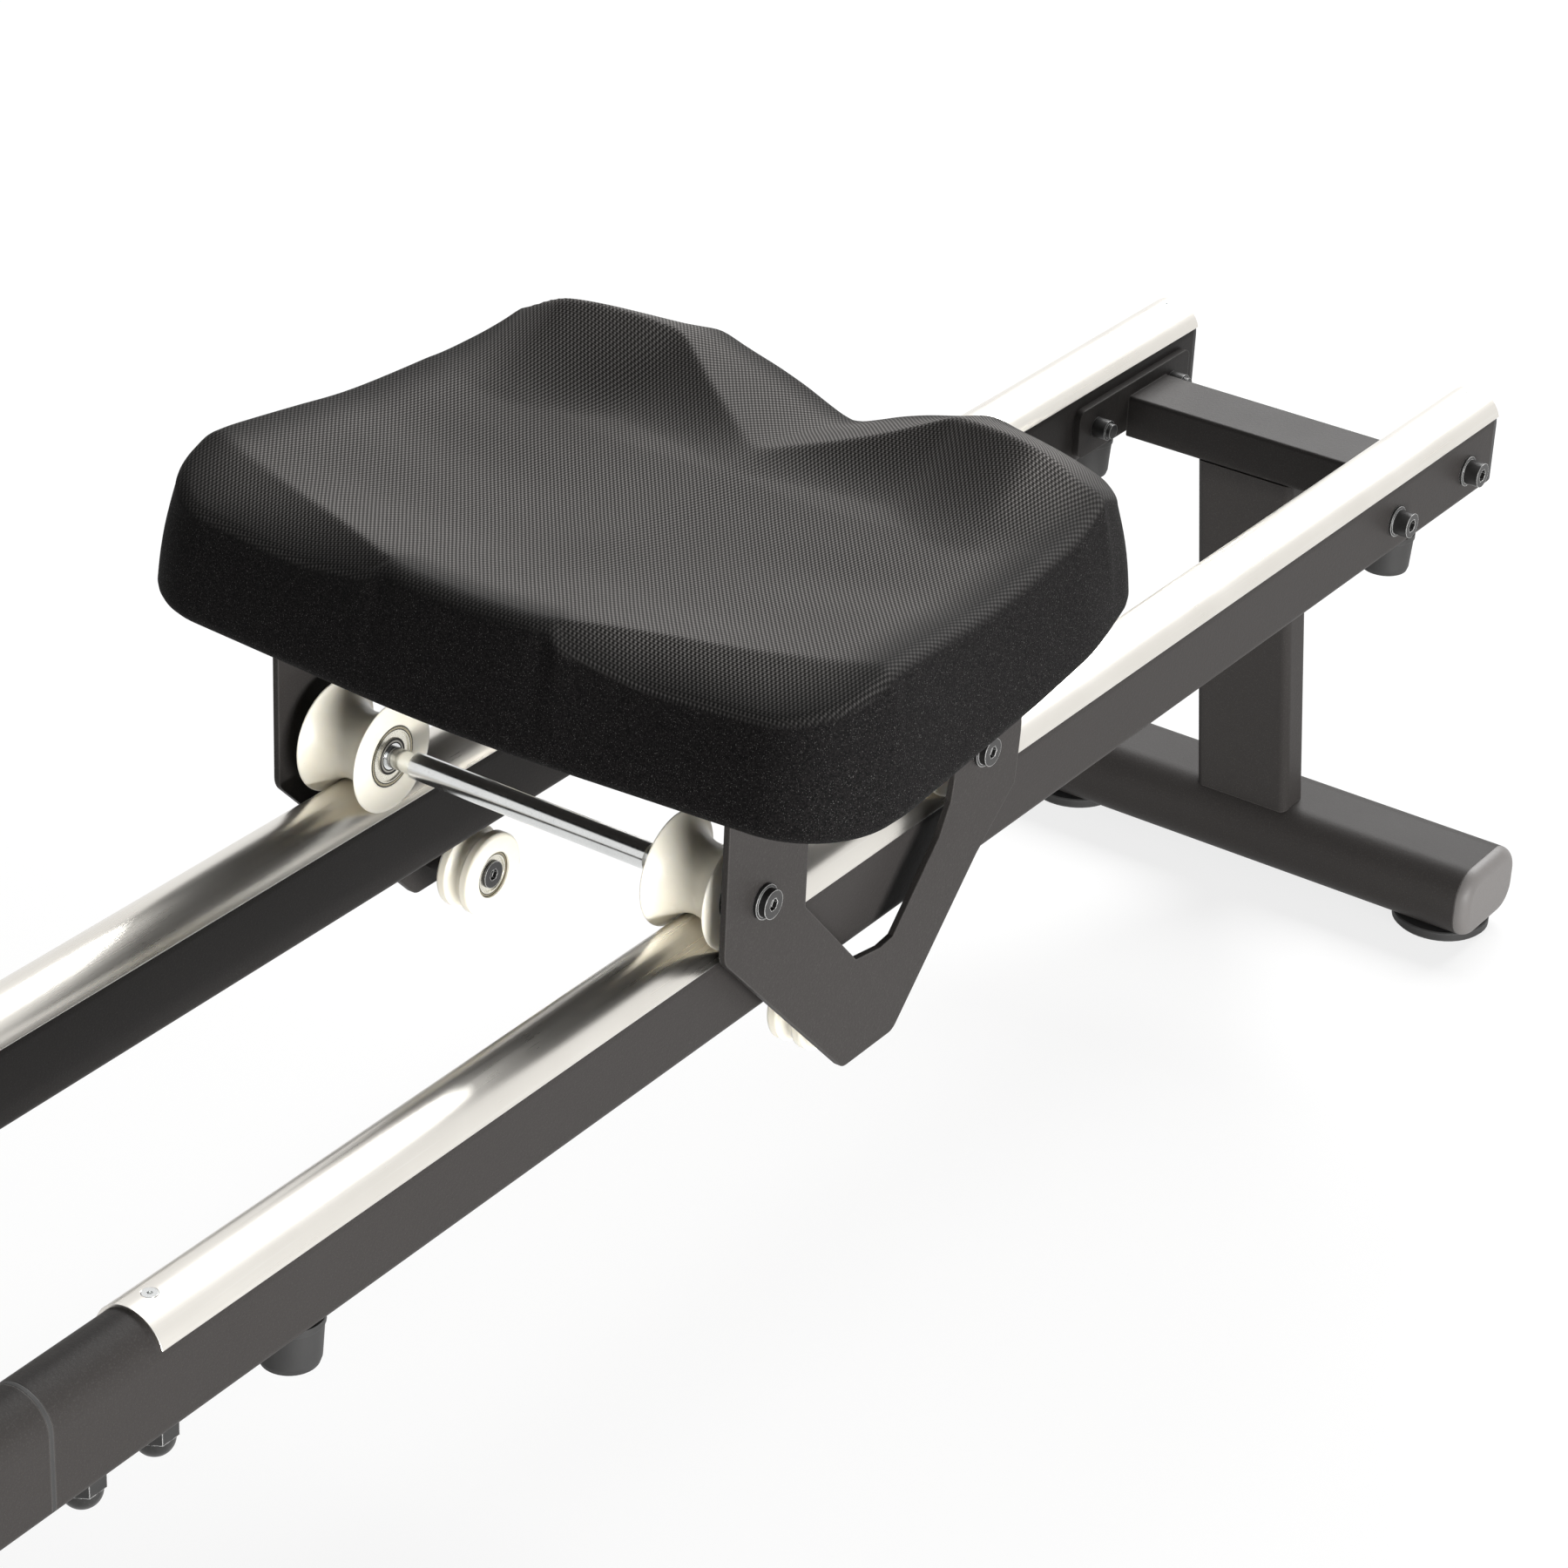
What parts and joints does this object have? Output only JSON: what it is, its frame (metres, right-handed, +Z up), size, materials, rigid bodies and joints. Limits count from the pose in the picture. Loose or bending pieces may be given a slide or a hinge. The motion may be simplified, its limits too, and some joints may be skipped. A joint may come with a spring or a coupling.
{
  "type": "water rowing machine",
  "caption": "Twin-rail water rowing machine: contoured seat on rollers, bright running strips, splayed legs with rubber feet, clear tank with paddle, pull handle and foot boards.",
  "frame": {"origin": "centre of the machine's footprint on the floor", "axes": "+X along the rails to the rear, past the seat; +Y to the left as seen by a person who looks along +X, and the names left and right follow that; +Z up"},
  "size_m": [2.0932, 0.472, 0.7443],
  "materials": {
    "frame_coat": "satin black powder coat",
    "strip_metal": "satin bare aluminium",
    "bolt_black": "black oxide with bright edges",
    "axle_metal": "bright plated",
    "bearing_metal": "ground rings with pressed shields",
    "roller_nylon": "creamy white, slight sheen",
    "black_rubber": "matt",
    "seat_cover": "fine woven mesh on top, fine grain on the sides",
    "black_plastic": "fine moulded grain",
    "tank_clear": "clear moulded shell",
    "water": "clear water",
    "paddle_metal": "brushed",
    "belt_web": "woven webbing",
    "grip_foam": "soft foam"
  },
  "bodies": {
    "frame": {"console_arm": "frame_coat", "crossbeam_bolts": "bolt_black", "drive_cover": "black_plastic", "drive_plate": "frame_coat", "foot_boards": "black_plastic", "foot_pads": "black_rubber", "foot_rest_frame": "frame_coat", "foot_straps": "belt_web", "foot_tube_caps": "black_plastic", "front_leg": "frame_coat", "front_tubes": "frame_coat", "joint_bolts": "bolt_black", "joint_gaskets": "black_rubber", "joint_inserts": "frame_coat", "pull_belt": "belt_web", "rail_bumpers": "black_rubber", "rail_end_caps": "black_plastic", "rail_left": "frame_coat", "rail_right": "frame_coat", "rear_crossbeam": "frame_coat", "rear_foot_tube": "frame_coat", "rear_upright": "frame_coat", "running_strips": "strip_metal", "shaft_bearings": "bearing_metal", "strip_screws": "axle_metal", "tank_bolts": "axle_metal", "tank_lower": "tank_clear", "tank_seal": "black_rubber", "tank_tray": "frame_coat", "tank_upper": "tank_clear", "tank_water": "water", "wheel_pins": "axle_metal"},
    "seat_carriage": {"seat_cushion": "seat_cover", "seat_pan": "frame_coat", "carriage_plate_left": "frame_coat", "carriage_plate_right": "frame_coat", "seat_axles": "axle_metal", "axle_spacers": "axle_metal", "axle_screws": "bolt_black", "lower_roller_bolts": "bolt_black", "upper_bearings": "bearing_metal", "lower_bearings": "bearing_metal"},
    "upper_roller_front_left_body": {"upper_roller_front_left": "roller_nylon"},
    "upper_roller_front_right_body": {"upper_roller_front_right": "roller_nylon"},
    "upper_roller_rear_left_body": {"upper_roller_rear_left": "roller_nylon"},
    "upper_roller_rear_right_body": {"upper_roller_rear_right": "roller_nylon"},
    "lower_roller_left_body": {"lower_roller_left": "roller_nylon"},
    "lower_roller_right_body": {"lower_roller_right": "roller_nylon"},
    "paddle_rotor": {"paddle": "paddle_metal", "paddle_shaft": "axle_metal"},
    "drum": {"belt_drum": "black_plastic"},
    "belt_pulley": {"guide_pulley": "roller_nylon"},
    "handle": {"handle_bar": "frame_coat", "handle_grips": "grip_foam"},
    "heel_left": {"heel_cup_left": "black_plastic"},
    "heel_right": {"heel_cup_right": "black_plastic"},
    "console_head": {"console": "black_plastic"},
    "button": {"console_button": "black_rubber"},
    "wheel_left_body": {"wheel_left": "black_rubber"},
    "wheel_right_body": {"wheel_right": "black_rubber"}
  },
  "joints": [
    {"name": "seat_slide", "type": "slide", "parent": "frame", "child": "seat_carriage", "axis": [1, 0, 0], "range_m": [-0.3125, 0.4935]},
    {"name": "upper_roller_front_left_spin", "type": "hinge", "parent": "seat_carriage", "child": "upper_roller_front_left_body", "pos_m": [0.3412, 0.091, 0.3213], "axis": [0, 1, 0], "continuous": true},
    {"name": "upper_roller_front_right_spin", "type": "hinge", "parent": "seat_carriage", "child": "upper_roller_front_right_body", "pos_m": [0.3412, -0.091, 0.3213], "axis": [0, 1, 0], "continuous": true},
    {"name": "upper_roller_rear_left_spin", "type": "hinge", "parent": "seat_carriage", "child": "upper_roller_rear_left_body", "pos_m": [0.5083, 0.091, 0.3213], "axis": [0, 1, 0], "continuous": true},
    {"name": "upper_roller_rear_right_spin", "type": "hinge", "parent": "seat_carriage", "child": "upper_roller_rear_right_body", "pos_m": [0.5083, -0.091, 0.3213], "axis": [0, 1, 0], "continuous": true},
    {"name": "lower_roller_left_spin", "type": "hinge", "parent": "seat_carriage", "child": "lower_roller_left_body", "pos_m": [0.423, 0.091, 0.223], "axis": [0, 1, 0], "continuous": true},
    {"name": "lower_roller_right_spin", "type": "hinge", "parent": "seat_carriage", "child": "lower_roller_right_body", "pos_m": [0.423, -0.091, 0.223], "axis": [0, 1, 0], "continuous": true},
    {"name": "paddle_spin", "type": "hinge", "parent": "frame", "child": "paddle_rotor", "pos_m": [-0.686, 0, 0.349], "axis": [0, 0, 1], "continuous": true},
    {"name": "handle_pull", "type": "slide", "parent": "frame", "child": "handle", "axis": [1, 0, 0], "range_m": [0, 0.95], "stiffness_N_per_m": 12, "deforming": ["pull_belt"]},
    {"name": "drum_spin", "type": "hinge", "parent": "frame", "child": "drum", "pos_m": [-0.686, 0, 0.514], "axis": [0, 0, 1], "continuous": true},
    {"name": "belt_pulley_spin", "type": "hinge", "parent": "frame", "child": "belt_pulley", "pos_m": [-0.546, 0.0126, 0.514], "axis": [0, 0, 1], "continuous": true},
    {"name": "heel_cup_left_slide", "type": "slide", "parent": "frame", "child": "heel_left", "axis": [-0.6428, 0, 0.766], "range_m": [-0.008, 0.04]},
    {"name": "heel_cup_right_slide", "type": "slide", "parent": "frame", "child": "heel_right", "axis": [-0.6428, 0, 0.766], "range_m": [-0.008, 0.04]},
    {"name": "wheel_left_spin", "type": "hinge", "parent": "frame", "child": "wheel_left_body", "pos_m": [-1.0166, 0.1073, 0.035], "axis": [0, 1, 0], "continuous": true},
    {"name": "wheel_right_spin", "type": "hinge", "parent": "frame", "child": "wheel_right_body", "pos_m": [-1.0166, -0.1073, 0.035], "axis": [0, 1, 0], "continuous": true},
    {"name": "console_tilt", "type": "hinge", "parent": "frame", "child": "console_head", "pos_m": [-0.934, 0, 0.634], "axis": [0, 1, 0], "range_deg": [-18, 22]},
    {"name": "button_press", "type": "slide", "parent": "console_head", "child": "button", "axis": [-0.9397, 0, -0.342], "range_m": [0, 0.0025], "stiffness_N_per_m": 250}
  ],
  "couplings": [
    {"joint": "upper_roller_front_left_spin", "follows": "seat_slide", "rad_per_m": 64.103},
    {"joint": "upper_roller_front_right_spin", "follows": "seat_slide", "rad_per_m": 64.103},
    {"joint": "upper_roller_rear_left_spin", "follows": "seat_slide", "rad_per_m": 64.103},
    {"joint": "upper_roller_rear_right_spin", "follows": "seat_slide", "rad_per_m": 64.103},
    {"joint": "drum_spin", "follows": "handle_pull", "rad_per_m": -20.764},
    {"joint": "belt_pulley_spin", "follows": "handle_pull", "rad_per_m": 84.746}
  ]
}
